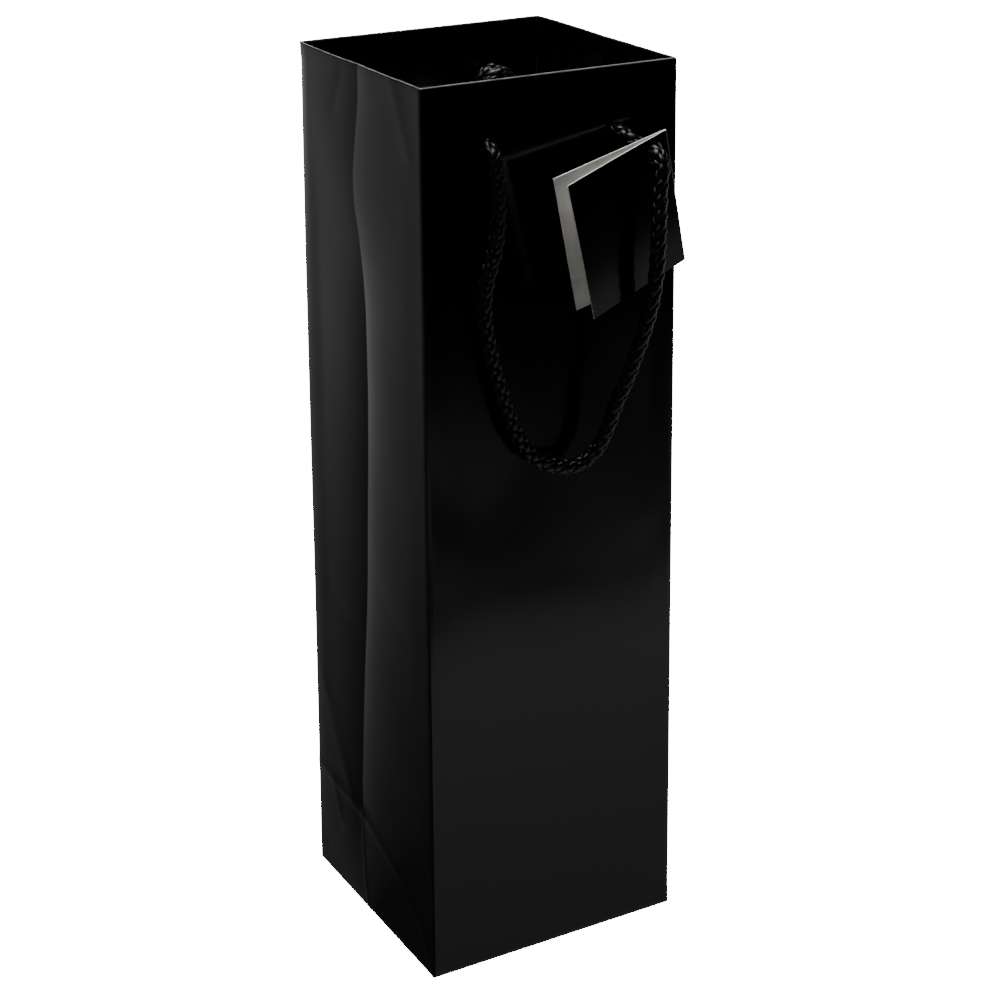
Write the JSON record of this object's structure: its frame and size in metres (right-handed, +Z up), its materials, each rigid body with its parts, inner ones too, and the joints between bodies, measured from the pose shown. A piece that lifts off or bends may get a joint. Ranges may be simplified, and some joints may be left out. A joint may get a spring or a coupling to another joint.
{
  "type": "wine gift bag",
  "caption": "Tall laminated paper gift bag for one wine bottle, with two braided rope handles and a folded gift tag hung on the front handle.",
  "frame": {"origin": "centre of the underside, where the bag stands", "axes": "+Z up along the bag; -Y out of the front, which carries the tag; +X to the right seen from the front"},
  "size_m": [0.105, 0.1343, 0.35],
  "materials": {
    "paper": "black printed paper under gloss lamination",
    "paper_inside": "uncoated white inside of the paper",
    "grey_board": "plain grey board",
    "rope": "black braided polypropylene rope, slightly shiny",
    "tag_card": "black card with gloss outside and white inside"
  },
  "bodies": {
    "bag": {"front_panel": "paper", "rear_panel": "paper", "left_gusset_front": "paper", "left_gusset_rear": "paper", "left_gusset_foot": "paper", "right_gusset_front": "paper", "right_gusset_rear": "paper", "right_gusset_foot": "paper", "seam_flap": "paper_inside", "front_hem": "paper", "rear_hem": "paper", "left_hem": "paper", "right_hem": "paper", "front_top_card": "grey_board", "rear_top_card": "grey_board", "bottom_left_flap": "paper_inside", "bottom_right_flap": "paper_inside", "bottom_rear_flap": "paper", "bottom_front_flap": "paper", "base_card": "grey_board", "front_left_knot": "rope", "front_right_knot": "rope", "rear_left_knot": "rope", "rear_right_knot": "rope", "front_rope_at_tag": "rope"},
    "front_handle": {"front_rope": "rope"},
    "rear_handle": {"rear_rope": "rope"},
    "tag": {"tag_rear_leaf": "tag_card"},
    "tag_cover": {"tag_front_leaf": "tag_card"}
  },
  "joints": [
    {"name": "front_handle_lift", "type": "hinge", "parent": "bag", "child": "front_handle", "pos_m": [0.0337, -0.0688, 0.321], "axis": [-0.9679, 0.2318, 0.0973], "range_deg": [0, 175]},
    {"name": "rear_handle_lift", "type": "hinge", "parent": "bag", "child": "rear_handle", "pos_m": [0, 0.0545, 0.327], "axis": [1, 0, 0], "range_deg": [0, 175]},
    {"name": "tag_swing", "type": "hinge", "parent": "bag", "child": "tag", "pos_m": [0.033, -0.062, 0.321], "axis": [0.1045, -0.9945, 0], "range_deg": [-12, 8]},
    {"name": "tag_fold", "type": "hinge", "parent": "tag", "child": "tag_cover", "pos_m": [0.04378, -0.06122, 0.30387], "axis": [-0.2068, -0.0217, 0.9781], "range_deg": [-7.4, 0]}
  ]
}
